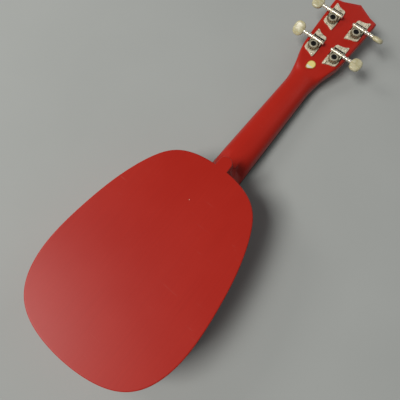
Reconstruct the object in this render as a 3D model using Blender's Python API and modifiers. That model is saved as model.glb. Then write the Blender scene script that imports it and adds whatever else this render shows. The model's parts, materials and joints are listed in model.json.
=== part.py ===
"""Soprano pineapple ukulele, lying face down: back panel up, neck towards +Y, metres.

The origin is at the middle of the instrument's box, on the surface that it lies on. Heights are
measured up from that surface, so the soundboard faces down and the strings are the lowest parts.
"""

import math

import bmesh
import bpy
from mathutils import Matrix, Vector

# Driving dimensions
OVERALL_LENGTH = 0.537
BODY_LENGTH = 0.2347
BODY_DEPTH = 0.052
NECK_LENGTH = 0.1783  # from the body to the nut
SCALE_LENGTH = 0.350
FRET_COUNT = 12
GAP = 0.0003  # clearance between pieces that touch

# Half-width of the body outline: sin(t) times this cosine series, with t from top to bottom
OUTLINE_TERMS = (0.1047, -0.0118, 0.0251, 0.0008, 0.0052, 0.0003, 0.0011)
OUTLINE_STEPS = 28  # on each half

# Heights above the surface
Z_BOARD = 0.0098  # outer face of the soundboard
Z_BACK = Z_BOARD + BODY_DEPTH  # outer face of the back panel
PANEL = 0.0022
WALL = 0.0020

# Stations along the instrument
Y_BOTTOM = -OVERALL_LENGTH / 2
Y_JOINT = Y_BOTTOM + BODY_LENGTH
Y_NUT = Y_JOINT + NECK_LENGTH
Y_SADDLE = Y_NUT - SCALE_LENGTH - 0.001
Y_TIP = OVERALL_LENGTH / 2
Y_HOLE = Y_JOINT - 0.076
HOLE_RADIUS = 0.0245

# Fingerboard, nut and strings
BOARD_THICK = 0.0035
BOARD_END = Y_JOINT - 0.008
NUT_WIDTH = 0.0342
NUT_LENGTH = 0.0040
NECK_TAPER = 0.0460  # width gained for each metre towards the body
BOARD_OVERHANG = 0.0006  # how far the fingerboard stands out past the neck on each side
FRET_HEIGHT = 0.0010
NUT_HEIGHT = 0.0064  # from the soundboard's outer face to the far side of the strings
SADDLE_HEIGHT = Z_BOARD
STRINGS = ("g", "c", "e", "a")  # from +X to -X
STRING_RADII = (0.00035, 0.00045, 0.00040, 0.00033)
NUT_SPREAD = 0.0088  # between neighbouring strings
SADDLE_SPREAD = 0.0135

# Headstock, with its own frame at the nut: x across, y towards the tip, z out of its back
HEAD_TILT = math.radians(4)
HEAD_STEP = 0.0025  # from the neck's front plane to the headstock's face
HEAD_THICK = 0.0125
HEAD_HALF_WIDTH = 0.0312
CROWN_DROP = 0.0110

# Tuner, with its own frame on the headstock's back: post axis at 0, x towards the button
TUNER_PLACES = {"g": (1, 0.0152, 0.0315), "c": (1, 0.0174, 0.0775),
                "e": (-1, 0.0174, 0.0775), "a": (-1, 0.0152, 0.0315)}
PLATE_THICK = 0.0012
GEAR_TEETH = 14
MODULE = 0.00085
GEAR_THICK = 0.0042
WORM_PITCH_RADIUS = 0.0029
ADDENDUM = 0.0005
DEDENDUM = 0.0007
BACKLASH = 0.00034
WORM_Y = GEAR_TEETH * MODULE / 2 + WORM_PITCH_RADIUS + 0.0001
WORM_Z = PLATE_THICK + 0.0039
WORM_TURNS = 3.5
EAR_X = 0.0062  # inner face of each bearing ear
EAR_THICK = 0.0010
BUTTON_START = 0.0198
BUTTON_SIZE = (0.0145, 0.0175, 0.0056)
BUTTON_TURNS = {"g": 0, "c": -45, "e": 0, "a": 40}  # degrees at rest, from flat
POST_RADIUS = 0.0029
POST_REACH = 0.0130  # below the headstock's face
HOLE_DEPTH = 0.0085  # string hole, below the headstock's face

MATERIALS = {
    "red_lacquer": ((0.40, 0.030, 0.020), 0.38, 0.0),
    "bare_wood": ((0.62, 0.43, 0.25), 0.70, 0.0),
    "dark_wood": ((0.045, 0.022, 0.014), 0.50, 0.0),
    "white_plastic": ((0.80, 0.77, 0.68), 0.40, 0.0),
    "fret_metal": ((0.60, 0.60, 0.58), 0.30, 1.0),
    "nickel": ((0.66, 0.64, 0.60), 0.22, 1.0),
    "cream_plastic": ((0.72, 0.66, 0.50), 0.30, 0.0),
    "nylon": ((0.78, 0.78, 0.76), 0.35, 0.0),
}


def clear_scene():
    for obj in list(bpy.data.objects):
        bpy.data.objects.remove(obj)


def collection(name):
    made = bpy.data.collections.new(name)
    bpy.context.scene.collection.children.link(made)
    return made


def material(name):
    made = bpy.data.materials.get(name)
    if made is None:
        colour, roughness, metallic = MATERIALS[name]
        made = bpy.data.materials.new(name)
        made.use_nodes = True
        shader = made.node_tree.nodes["Principled BSDF"]
        shader.inputs["Base Color"].default_value = (*colour, 1)
        shader.inputs["Roughness"].default_value = roughness
        shader.inputs["Metallic"].default_value = metallic
    return made


clear_scene()
PARTS = collection("pineapple_ukulele")
CUTTERS = collection("cutters")


def add(name, data, finish=None):
    """A finished piece, or a hidden cutter where no finish is given."""
    obj = bpy.data.objects.new(name, data)
    if finish:
        PARTS.objects.link(obj)
        data.materials.append(material(finish))
    else:
        CUTTERS.objects.link(obj)
        obj.hide_render = True
        obj.display_type = "WIRE"
    return obj


def mesh_from(bm, name):
    bmesh.ops.recalc_face_normals(bm, faces=bm.faces)
    mesh = bpy.data.meshes.new(name)
    bm.to_mesh(mesh)
    bm.free()
    mesh.shade_smooth()
    mesh.set_sharp_from_angle(angle=math.radians(35))
    return mesh


def welded(obj, finish=None, mirror=False):
    """The evaluated object as a mesh object in the same place, with its caps welded."""
    bpy.context.view_layer.update()
    graph = bpy.context.evaluated_depsgraph_get()
    mesh = bpy.data.meshes.new_from_object(obj.evaluated_get(graph))
    mesh.materials.clear()
    bm = bmesh.new()
    bm.from_mesh(mesh)
    bmesh.ops.remove_doubles(bm, verts=bm.verts, dist=1e-6)
    if mirror:
        bmesh.ops.scale(bm, verts=bm.verts, vec=(-1, 1, 1))
    name, place = obj.name, obj.matrix_world.copy()
    bpy.data.objects.remove(obj)
    made = add(name, mesh_from(bm, name), finish)
    made.data.transform(place)
    return made


def box(name, low, high, finish=None, bevel=0.0):
    low, high = Vector(low), Vector(high)
    place = Matrix.LocRotScale((low + high) / 2, None, high - low)
    bm = bmesh.new()
    bmesh.ops.create_cube(bm, size=1, matrix=place)
    obj = add(name, mesh_from(bm, name), finish)
    if bevel:
        soften(obj, bevel)
    return obj


def rod(name, radius, start, end, finish=None, sides=20):
    """A cylinder between two points."""
    start, end = Vector(start), Vector(end)
    turn = Vector((0, 0, 1)).rotation_difference(end - start)
    place = Matrix.LocRotScale((start + end) / 2, turn, None)
    bm = bmesh.new()
    bmesh.ops.create_cone(bm, cap_ends=True, segments=sides, radius1=radius, radius2=radius,
                          depth=(end - start).length, matrix=place)
    return add(name, mesh_from(bm, name), finish)


def slab(name, loops, low, high, finish=None):
    """A flat outline, with any further loops as holes, from height low to high."""
    curve = bpy.data.curves.new(name, "CURVE")
    curve.dimensions = "2D"
    curve.fill_mode = "BOTH"
    curve.extrude = (high - low) / 2
    for loop in loops:
        spline = curve.splines.new("POLY")
        spline.points.add(len(loop) - 1)
        for point, (x, y) in zip(spline.points, loop):
            point.co = (x, y, 0, 1)
        spline.use_cyclic_u = True
    obj = add(name, curve)
    obj.location.z = (low + high) / 2
    bpy.context.view_layer.update()
    return welded(obj, finish)


def turned(name, profile, finish=None, steps=20):
    """A profile of (radius, height) pairs, top to bottom, turned round Z."""
    bm = bmesh.new()
    points = [bm.verts.new((radius, 0, height)) for radius, height in profile]
    for first, second in zip(points, points[1:]):
        bm.edges.new((first, second))
    if profile[0][0] > 0:
        bm.edges.new((points[-1], points[0]))
    mesh = bpy.data.meshes.new(name)
    bm.to_mesh(mesh)
    bm.free()
    obj = add(name, mesh, finish)
    screw = obj.modifiers.new("turn", "SCREW")
    screw.steps = screw.render_steps = steps
    screw.use_merge_vertices = True
    screw.merge_threshold = 1e-6
    screw.use_smooth_shade = True
    return obj


def soften(obj, width, segments=1, angle=40):
    bevel = obj.modifiers.new("soften", "BEVEL")
    bevel.width = width
    bevel.segments = segments
    bevel.limit_method = "ANGLE"
    bevel.angle_limit = math.radians(angle)


def cut(obj, cutter, operation="DIFFERENCE"):
    boolean = obj.modifiers.new(cutter.name, "BOOLEAN")
    boolean.operation = operation
    boolean.object = cutter
    boolean.solver = "EXACT"


def body_point(t, inset=0.0, side=1):
    """The outline at t, from 0 at the neck to pi at the tail, moved in by inset."""
    def at(angle):
        series = sum(term * math.cos(i * angle) for i, term in enumerate(OUTLINE_TERMS))
        y = Y_JOINT - BODY_LENGTH / 2 * (1 - math.cos(angle))
        return Vector((math.sin(angle) * series, y))

    step = 1e-4
    along = at(t + step) - at(t - step)
    inward = Vector((along.y, -along.x)).normalized()
    point = at(t) + inward * inset
    return (side * point.x, point.y)


def body_arc(first, last, inset=0.0, side=1, steps=OUTLINE_STEPS):
    return [body_point(first + (last - first) * i / steps, inset, side) for i in range(steps + 1)]


def body_loop(inset=0.0):
    """The whole outline, without its end points twice."""
    right = body_arc(0, math.pi, inset)
    left = body_arc(math.pi, 0, inset, -1)
    return right + left[1:-1]


def outline_angle(test, first, last):
    """The angle where test(x, y) turns true, between two angles of the outline."""
    for _ in range(40):
        middle = (first + last) / 2
        if test(*body_point(middle)):
            last = middle
        else:
            first = middle
    return last


def circle(radius, centre=(0, 0), steps=24, start=0.0):
    angles = [start + 2 * math.pi * i / steps for i in range(steps)]
    return [(centre[0] + radius * math.cos(a), centre[1] + radius * math.sin(a)) for a in angles]


def smooth(value, points):
    """A smooth curve through (position, amount) points, read at a value."""
    if value <= points[0][0]:
        return points[0][1]
    for i in range(len(points) - 1):
        (a, low), (b, high) = points[i], points[i + 1]
        if value > b:
            continue
        before = points[max(i - 1, 0)]
        after = points[min(i + 2, len(points) - 1)]
        slope_in = (high - before[1]) / (b - before[0])
        slope_out = (after[1] - low) / (after[0] - a)
        span, t = b - a, (value - a) / (b - a)
        return (low * (1 + 2 * t) * (1 - t) ** 2 + high * t * t * (3 - 2 * t)
                + span * t * (1 - t) * (slope_in * (1 - t) - slope_out * t))
    return points[-1][1]


# Body ------------------------------------------------------------------------------------------

TAB_HALF_WIDTH = 0.0076
TAB_LENGTH = 0.0145
BLOCK_HALF_WIDTH = 0.024
LINING = 0.0048


def back_outline():
    """The body's outline with the heel cap: a round-ended tongue over the neck's heel."""
    start = outline_angle(lambda x, y: x > TAB_HALF_WIDTH, 0, 0.6)
    right = body_arc(start, math.pi)
    left = body_arc(math.pi, start, 0.0, -1)
    shoulder = Y_JOINT + TAB_LENGTH - TAB_HALF_WIDTH
    cap = [(-TAB_HALF_WIDTH * math.cos(a), shoulder + TAB_HALF_WIDTH * math.sin(a))
           for a in (math.pi * i / 10 for i in range(11))]
    return right + left[1:] + cap


def make_panels():
    back = slab("back_panel", [back_outline()], Z_BACK - PANEL, Z_BACK, "red_lacquer")
    front = slab("soundboard", [body_loop(), circle(HOLE_RADIUS, (0, Y_HOLE), 28)],
                 Z_BOARD, Z_BOARD + PANEL, "red_lacquer")
    for panel in (back, front):
        soften(panel, 0.0007)


def band(name, outer, inner, first, last, side, low, high, finish, steps):
    """A wall that follows one side of the outline, between two insets."""
    loop = body_arc(first, last, outer, side, steps) + body_arc(last, first, inner, side, steps)
    return slab(name, [loop], low, high, finish)


def make_walls():
    low, high = Z_BOARD + PANEL + GAP, Z_BACK - PANEL - GAP
    inset = WALL + GAP
    neck_end = outline_angle(lambda x, y: x > BLOCK_HALF_WIDTH + LINING, 0, 0.9)
    tail_end = outline_angle(lambda x, y: x < BLOCK_HALF_WIDTH + LINING, 2.0, math.pi)
    seam = 0.0022
    for side, word in ((1, "right"), (-1, "left")):
        band("side_" + word, 0, WALL, seam, math.pi - seam, side, low, high, "red_lacquer",
             OUTLINE_STEPS)
        for place, bottom in (("top", low), ("back", high - LINING)):
            band(f"{place}_lining_{word}", inset, inset + LINING, neck_end, tail_end, side,
                 bottom, bottom + LINING, "bare_wood", 18)


def make_blocks():
    low, high = Z_BOARD + PANEL + GAP, Z_BACK - PANEL - GAP
    neck_edge = outline_angle(lambda x, y: x > BLOCK_HALF_WIDTH, 0, 0.9)
    tail_edge = outline_angle(lambda x, y: x < BLOCK_HALF_WIDTH, 2.0, math.pi)
    blocks = (("neck_block", neck_edge, 0, Y_JOINT - 0.020),
              ("tail_block", tail_edge, math.pi, Y_BOTTOM + 0.014))
    for name, edge, end, inner in blocks:
        inset = WALL + GAP
        arc = body_arc(edge, end, inset, 1, 8) + body_arc(end, edge, inset, -1, 8)[1:]
        slab(name, [arc + [(arc[-1][0], inner), (arc[0][0], inner)]], low, high, "bare_wood")


def half_room(y):
    """Half of the clear width between the linings at a station."""
    angle = outline_angle(lambda _, at: at < y, 0, math.pi)
    return body_point(angle)[0] - WALL - LINING - 0.0022


def make_braces():
    inner_low, inner_high = Z_BOARD + PANEL + GAP, Z_BACK - PANEL - GAP
    places = {
        "top_brace_upper": (Y_HOLE + 0.036, 0.0070), "top_brace_lower": (Y_HOLE - 0.038, 0.0070),
        "back_brace_upper": (Y_JOINT - 0.070, -0.0080), "back_brace_lower": (Y_JOINT - 0.165, -0.0080),
    }
    for name, (y, height) in places.items():
        reach = half_room(y)
        start = inner_low if height > 0 else inner_high
        low, high = sorted((start, start + height))
        box(name, (-reach, y - 0.003, low), (reach, y + 0.003, high), "bare_wood", 0.0015)
    box("bridge_patch", (-0.034, Y_SADDLE - 0.014, inner_low),
        (0.034, Y_SADDLE + 0.014, inner_low + 0.002), "bare_wood")


# Bridge ----------------------------------------------------------------------------------------

BRIDGE_HALF_WIDTH = 0.030
BRIDGE_HEIGHT = 0.0060
BRIDGE_FRONT = Y_SADDLE + 0.0055
BRIDGE_REAR = Y_SADDLE - 0.0125
SLOT_DEPTH = 0.0036
NOTCH_STEP = 0.0002


def make_bridge():
    top = Z_BOARD - GAP
    bridge = box("bridge", (-BRIDGE_HALF_WIDTH, BRIDGE_REAR, top - BRIDGE_HEIGHT),
                 (BRIDGE_HALF_WIDTH, BRIDGE_FRONT, top), "dark_wood", 0.0012)
    low = top - BRIDGE_HEIGHT - 0.001
    cut(bridge, box("cut_saddle", (-0.0235, Y_SADDLE - 0.0014, low),
                    (0.0235, Y_SADDLE + 0.0014, top - 0.0020)))
    for name, x in zip(STRINGS, string_rows(SADDLE_SPREAD)):
        cut(bridge, box(f"cut_slot_{name}", (x - 0.0009, BRIDGE_REAR - 0.001, low),
                        (x + 0.0009, Y_SADDLE - 0.0024, top - BRIDGE_HEIGHT + SLOT_DEPTH)))
    saddle = box("saddle", (-0.0231, Y_SADDLE - 0.0011, Z_BOARD - SADDLE_HEIGHT + NOTCH_STEP),
                 (0.0231, Y_SADDLE + 0.0011, top - 0.0020 - GAP), "white_plastic", 0.0007)
    notch(saddle, SADDLE_SPREAD, Y_SADDLE, Z_BOARD - SADDLE_HEIGHT)


def notch(obj, spread, y, low):
    """A notch for each string, which stands NOTCH_STEP proud of the piece."""
    for name, x, radius in zip(STRINGS, string_rows(spread), STRING_RADII):
        reach = radius + GAP
        cut(obj, box(f"cut_{obj.name}_{name}", (x - reach, y - 0.01, low - 0.001),
                     (x + reach, y + 0.01, low + 2 * radius + GAP)))


def string_rows(spread):
    return [spread * (1.5 - i) for i in range(len(STRINGS))]


# Neck ------------------------------------------------------------------------------------------

NECK_POINTS = 18  # round the back of each section
HEEL_TOP = Z_BACK - PANEL - GAP - Z_BOARD
HEEL_REACH = 0.034  # how far the heel runs out along the neck, past the cap's end
HEEL_CREST = 0.0066  # half-width of the heel under its cap
HEAD_ORIGIN = Vector((0, Y_NUT + NUT_LENGTH, Z_BOARD + HEAD_STEP))
HEAD = Matrix.Translation(HEAD_ORIGIN) @ Matrix.Rotation(HEAD_TILT, 4, "X")
HEAD_START = -0.008  # where the neck stops tapering, from the nut
# Half-widths of the headstock, and depths of the neck, by distance from the nut and the body
HEAD_WIDTHS = ((HEAD_START, 0.0167), (0.005, 0.0193), (0.017, 0.0223), (0.029, 0.0262),
               (0.041, 0.0278), (0.067, 0.0295), (0.107, HEAD_HALF_WIDTH),
               (0.137, HEAD_HALF_WIDTH + 0.0006))
NECK_DEPTHS = ((0.0, 0.0172), (0.060, 0.0160), (0.155, 0.0138), (0.171, 0.0138))
HEEL_STATIONS = (-0.006, 0.001, 0.005, 0.0085, 0.0115, 0.0145, 0.018, 0.022, 0.0265, 0.0315,
                 0.037, 0.044, 0.060, 0.105)
HEAD_STATIONS = (-0.023, -0.011, -0.003, 0.004, 0.007, 0.012, 0.017, 0.023, 0.029, 0.035, 0.043,
                 0.057, 0.087, 0.131)


def half_width(y):
    past = y - Y_NUT
    if past < HEAD_START:
        return NUT_WIDTH / 2 - past * NECK_TAPER / 2 - BOARD_OVERHANG
    return smooth(past, HEAD_WIDTHS)


def front_height(y):
    """The neck's front plane, then the headstock's face."""
    past = y - HEAD_ORIGIN.y
    if past < 0:
        return Z_BOARD
    return Z_BOARD + min(HEAD_STEP, past * 0.8) + past * math.tan(HEAD_TILT)


def back_height(y):
    head = HEAD_ORIGIN.z + (y - HEAD_ORIGIN.y) * math.tan(HEAD_TILT)
    head += HEAD_THICK / math.cos(HEAD_TILT)
    neck = Z_BOARD + smooth(y - Y_JOINT, NECK_DEPTHS)
    blend = ease((y - Y_NUT + 0.007) / 0.034)
    heel = HEEL_TOP * (1 - ease_out((y - Y_JOINT - 0.0105) / HEEL_REACH))
    return max(neck + (head - neck) * blend, Z_BOARD + heel)


def ease(t):
    t = min(max(t, 0), 1)
    return t * t * (3 - 2 * t)


def ease_out(t):
    t = min(max(t, 0), 1)
    return 1 - (1 - t) ** 2.6


def section(y):
    """Points round the neck's section at a station: a D, a narrow heel or the headstock."""
    wide, low, high = half_width(y), front_height(y), back_height(y)
    power = 2.3 + 9.0 * ease((y - Y_NUT + 0.001) / 0.030)
    heel = 1 - ease((y - Y_JOINT - 0.014) / 0.026)
    flat = 0.28  # share of the width that the heel's crest keeps
    points = []
    for i in range(NECK_POINTS + 1):
        angle = math.pi * i / NECK_POINTS
        c, s = math.cos(angle), math.sin(angle)
        x = wide * math.copysign(abs(c) ** (2 / power), c)
        z = abs(s) ** (2 / power)
        out = max(abs(c) - flat, 0) / (1 - flat)
        flank = HEEL_CREST * c / flat
        if out:
            flank = math.copysign(HEEL_CREST + (wide - HEEL_CREST) * out ** 2.4, c)
        rise = (1 - out) ** 0.8
        points.append((x + (flank - x) * heel, low + (high - low) * (z + (rise - z) * heel)))
    return points


def make_neck():
    bm = bmesh.new()
    rings = []
    stations = [Y_JOINT + out for out in HEEL_STATIONS] + [Y_NUT + past for past in HEAD_STATIONS]
    for y in stations:
        rings.append([bm.verts.new((x, y, z)) for x, z in section(y)])
    for ring, following in zip(rings, rings[1:]):
        for i in range(len(ring)):
            j = (i + 1) % len(ring)
            bm.faces.new((ring[i], ring[j], following[j], following[i]))
    bm.faces.new(rings[0])
    bm.faces.new(rings[-1])
    neck = add("neck", mesh_from(bm, "neck"), "red_lacquer")
    low, high = Z_BOARD - 0.01, Z_BACK + 0.01
    cut(neck, slab("cut_body", [body_loop(-GAP)], low, high))
    corner, beyond = Y_TIP - CROWN_DROP, Y_TIP + 0.030
    sweep = [(x, Y_TIP - CROWN_DROP * (1 - (1 - x / HEAD_HALF_WIDTH) ** 1.8))
             for x in (HEAD_HALF_WIDTH * i / 8 for i in range(9))]
    right = sweep + [(0.040, corner), (0.040, beyond)]
    left = [(-x, y) for x, y in reversed(right)]
    cut(neck, slab("cut_crown", [right + left[:-1]], low, high))
    for name, (side, x, y) in TUNER_PLACES.items():
        bores = (("hole", POST_RADIUS + 0.0022, -0.005, 0.006),
                 ("shank", POST_RADIUS + 0.0004, 0.004, 0.025))
        for word, radius, start, end in bores:
            cutter = rod(f"cut_{word}_{name}", radius, (side * x, y, start), (side * x, y, end))
            cutter.data.transform(HEAD)
            cut(neck, cutter)


def make_fingerboard():
    low, high = Z_BOARD - GAP - BOARD_THICK, Z_BOARD - GAP
    tail = NUT_WIDTH / 2 + (Y_NUT - BOARD_END) * NECK_TAPER / 2
    right = [(tail, BOARD_END), (NUT_WIDTH / 2, Y_NUT - GAP)]
    left = [(-x, y) for x, y in reversed(right)]
    board = slab("fingerboard", [right + left], low, high, "dark_wood")
    bm = bmesh.new()
    for number in range(1, FRET_COUNT + 1):
        place = Matrix.LocRotScale((0, fret_y(number), low), None, (0.06, 0.0012, 0.0042))
        bmesh.ops.create_cube(bm, size=1, matrix=place)
    cut(board, add("cut_frets", mesh_from(bm, "cut_frets")))
    nut_low = Z_BOARD - NUT_HEIGHT
    nut = box("nut", (-NUT_WIDTH / 2, Y_NUT, nut_low + NOTCH_STEP),
              (NUT_WIDTH / 2, Y_NUT + NUT_LENGTH, Z_BOARD - GAP), "white_plastic", 0.0007)
    notch(nut, NUT_SPREAD, Y_NUT, nut_low)


def fret_y(number):
    """Each fret shortens the string by a twelfth root of two."""
    return Y_NUT - SCALE_LENGTH * (1 - 2 ** (-number / 12))


def make_frets():
    face = Z_BOARD - GAP - BOARD_THICK
    crown = [(0.0010 * math.cos(a), -FRET_HEIGHT * math.sin(a) - GAP)
             for a in (math.pi * i / 6 for i in range(7))]
    tang = [(-0.0003, -GAP), (-0.0003, 0.0015), (0.0003, 0.0015), (0.0003, -GAP)]
    for number in range(1, FRET_COUNT + 1):
        y = fret_y(number)
        reach = NUT_WIDTH / 2 + (Y_NUT - y) * NECK_TAPER / 2 - 0.0004
        fret = slab(f"fret_{number}", [crown + tang], -reach, reach, "fret_metal")
        upright = Matrix(((0, 0, 1, 0), (1, 0, 0, y), (0, 1, 0, face), (0, 0, 0, 1)))
        fret.data.transform(upright)


# Tuners ----------------------------------------------------------------------------------------

PITCH = math.pi * MODULE
GEAR_RADIUS = GEAR_TEETH * MODULE / 2


def tuner_frame(name):
    """From the tuner's own frame, drawn for the +X side, to its place on the headstock."""
    side, x, y = TUNER_PLACES[name]
    return HEAD @ Matrix.Translation((side * x, y, HEAD_THICK + GAP))


def plate_outline():
    """A plate whose ends slant, with the high end outside and the low end inside."""
    half = 0.0082
    right = [(half, -0.0020), (half - 0.0004, -0.0048), (0.0045, -0.0070), (0.0002, -0.0078),
             (-0.0042, -0.0098)]
    low_tip = [(-0.0068, -0.0112), (-0.0080, -0.0105)]
    left = [(-half, -0.0060), (-half, 0.0160), (-half + 0.0002, 0.0198), (-0.0062, 0.0222)]
    top = [(-0.0020, 0.0228), (0.0030, 0.0240), (0.0064, 0.0266)]
    high_tip = [(0.0078, 0.0268), (half, 0.0258)]
    return right + low_tip + left + top + high_tip


def make_plate(name):
    slots = []
    for side in (1, -1):
        inner, outer = sorted((side * EAR_X, side * (EAR_X + EAR_THICK + 0.0003)))
        top = WORM_Y + 0.0093 + side * 0.0002
        slots.append([(inner, WORM_Y + 0.0042), (outer, top - 0.0051), (outer, top),
                      (inner, top + 0.0002)])
    holes = slots + [circle(POST_RADIUS + 0.0004, steps=20)]
    plate = slab(f"tuner_plate_{name}", [plate_outline()] + holes, 0, PLATE_THICK, "nickel")
    reach = 0.0030
    arch = [(WORM_Y + reach * math.cos(a), WORM_Z + reach * math.sin(a))
            for a in (math.pi * i / 8 for i in range(9))]
    foot = [(WORM_Y - reach, PLATE_THICK * 0.4), (WORM_Y + reach, PLATE_THICK * 0.4)]
    for side in (1, -1):
        low, high = sorted((side * EAR_X, side * (EAR_X + EAR_THICK)))
        loops = [arch + foot, circle(0.0016, (WORM_Y, WORM_Z), 16)]
        ear = slab(f"cut_ear_{name}_{side + 1}", loops, low, high)
        ear.data.transform(Matrix(((0, 0, 1, 0), (1, 0, 0, 0), (0, 1, 0, 0), (0, 0, 0, 1))))
        cut(plate, ear, "UNION")
    return plate


def gear_outline():
    """Straight-flanked teeth, thinned by the backlash."""
    points = []
    tip, root = GEAR_RADIUS + ADDENDUM, GEAR_RADIUS - DEDENDUM
    half_pitch = (PITCH / 2 - BACKLASH) / 2
    for tooth in range(GEAR_TEETH):
        middle = math.pi / 2 + 2 * math.pi * tooth / GEAR_TEETH
        for radius, half in ((root, half_pitch + 0.00030), (tip, half_pitch - 0.00022),
                             (tip, -half_pitch + 0.00022), (root, -half_pitch - 0.00030)):
            angle = middle - half / radius
            points.append((radius * math.cos(angle), radius * math.sin(angle)))
    return points


def make_gear(name):
    """Teeth that lean with the worm's thread, and a bore for the post's shank."""
    low, high = WORM_Z - GEAR_THICK / 2, WORM_Z + GEAR_THICK / 2
    lean = PITCH / (2 * math.pi * WORM_PITCH_RADIUS) / GEAR_RADIUS
    bm = bmesh.new()
    face = bm.faces.new([bm.verts.new((x, y, low)) for x, y in gear_outline()])
    bmesh.ops.rotate(bm, verts=bm.verts, matrix=Matrix.Rotation(-lean * GEAR_THICK / 2, 3, "Z"))
    steps = 2
    for step in range(steps):
        grown = bmesh.ops.extrude_face_region(bm, geom=[face])["geom"]
        if step:
            bm.faces.remove(face)  # it lies inside the gear now
        fresh = [item for item in grown if isinstance(item, bmesh.types.BMVert)]
        bmesh.ops.translate(bm, verts=fresh, vec=(0, 0, GEAR_THICK / steps))
        bmesh.ops.rotate(bm, verts=fresh, matrix=Matrix.Rotation(lean * GEAR_THICK / steps, 3, "Z"))
        face = next(item for item in grown if isinstance(item, bmesh.types.BMFace))
    gear = add(f"tuner_gear_{name}", mesh_from(bm, "gear"), "nickel")
    cut(gear, rod(f"cut_bore_{name}", 0.0021, (0, 0, low - 0.001), (0, 0, high + 0.001), None, 12))
    return gear


def make_worm(name):
    """A turned shaft with a collar at each ear, beads outside, and the thread in the middle."""
    core = WORM_PITCH_RADIUS - DEDENDUM
    journal = 0.0013
    ear = EAR_X + EAR_THICK
    bead = 0.0021
    end = BUTTON_START + 0.0075
    profile = [(0, end), (journal, end), (journal, BUTTON_START - 0.0002),
               (bead, BUTTON_START - 0.0006), (bead, BUTTON_START - 0.0026), (journal, 0.0166)]
    for centre in (0.0142, 0.0100):
        profile += [(journal, centre + 0.0018), (bead, centre + 0.0008), (bead, centre - 0.0008),
                    (journal, centre - 0.0018)]
    profile += [(journal, EAR_X - 0.0003), (core, EAR_X - 0.0006), (core, -EAR_X + 0.0006),
                (journal, -EAR_X + 0.0003), (journal, -ear - 0.0004), (0.0017, -ear - 0.0006),
                (0.0017, -ear - 0.0016), (0.0009, -ear - 0.0024), (0, -ear - 0.0024)]
    shaft = turned(f"worm_shaft_{name}", profile, "nickel", 12)
    lie_along = Matrix.Rotation(math.pi / 2, 4, "Y")
    shaft.data.transform(lie_along)
    shaft.modifiers["turn"].axis = "X"
    half_pitch = (PITCH / 2 - BACKLASH) / 2
    length = WORM_TURNS * PITCH
    bm = bmesh.new()
    tip = WORM_PITCH_RADIUS + ADDENDUM
    start = -length / 2
    corners = ((core - 0.0005, -half_pitch - 0.0004), (tip, -half_pitch + 0.00022),
               (tip, half_pitch - 0.00022), (core - 0.0005, half_pitch + 0.0004))
    face = bm.faces.new([bm.verts.new((start + x, r, 0)) for r, x in corners])
    steps = round(WORM_TURNS * 10)
    bmesh.ops.spin(bm, geom=[face, *face.edges, *face.verts], cent=(0, 0, 0), axis=(1, 0, 0),
                   dvec=(length / steps, 0, 0), angle=2 * math.pi * WORM_TURNS, steps=steps)
    thread = add(f"cut_thread_{name}", mesh_from(bm, "thread"))
    turn_to_gear = math.pi - 2 * math.pi * (WORM_TURNS / 2 + 0.5)
    thread.data.transform(Matrix.Rotation(turn_to_gear, 4, "X"))
    cut(shaft, thread, "UNION")
    return shaft


def make_button(name):
    """An oval button with rounded edges, bored for the shaft."""
    length, across, thick = BUTTON_SIZE
    middle = BUTTON_START + length / 2
    oval = [(middle + length / 2 * math.cos(a), across / 2 * math.sin(a))
            for a in (2 * math.pi * i / 18 for i in range(18))]
    button = slab(f"tuner_button_{name}", [oval], -thick / 2, thick / 2, "cream_plastic")
    soften(button, 0.0022, 2)
    cut(button, rod(f"cut_button_{name}", 0.0016, (0.01, 0, 0), (BUTTON_START + 0.0078, 0, 0),
                    None, 12))
    button.data.transform(Matrix.Rotation(math.radians(BUTTON_TURNS[name]), 4, "X"))
    return button


def make_post(name):
    """A string post with its shank in the gear and a waist where the string winds."""
    top = WORM_Z + GEAR_THICK / 2 - 0.0004
    face = -HEAD_THICK - GAP
    tip = face - POST_REACH
    shank = 0.0018
    profile = [(0, top), (shank, top), (shank, PLATE_THICK + 0.0004),
               (POST_RADIUS, PLATE_THICK + 0.0003),
               (POST_RADIUS, face - 0.0022), (POST_RADIUS - 0.0004, face - 0.0032),
               (POST_RADIUS - 0.0004, face - 0.0100), (POST_RADIUS, face - 0.0110),
               (POST_RADIUS, tip + 0.0006), (POST_RADIUS - 0.0008, tip), (0, tip)]
    post = turned(f"string_post_{name}", profile, "nickel", 14)
    depth = face - HOLE_DEPTH
    cut(post, rod(f"cut_eye_{name}", 0.0009, (0, -0.006, depth), (0, 0.006, depth), None, 10))
    return post


def make_bushing(name):
    face = -HEAD_THICK - GAP
    inner = POST_RADIUS + GAP
    sleeve = POST_RADIUS + 0.0019
    profile = [(sleeve, face + 0.0050), (sleeve, face - GAP), (0.0062, face - GAP),
               (0.0056, face - 0.0014), (inner, face - 0.0014), (inner, face + 0.0050)]
    return turned(f"post_bushing_{name}", profile, "nickel", 16)


def make_tuners():
    for name in STRINGS:
        frame = tuner_frame(name)
        worm_frame = frame @ Matrix.Translation((0, WORM_Y, WORM_Z))
        pieces = [(make_plate(name), frame), (make_gear(name), frame), (make_post(name), frame),
                  (make_bushing(name), frame), (make_worm(name), worm_frame),
                  (make_button(name), worm_frame)]
        for piece, place in pieces:
            finish = piece.data.materials[0].name
            made = welded(piece, finish, mirror=TUNER_PLACES[name][0] < 0)
            made.matrix_world = place


# Strings ---------------------------------------------------------------------------------------

WINDINGS = 2.25
WINDING_RISE = 0.00135  # along the post for each turn


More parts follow.
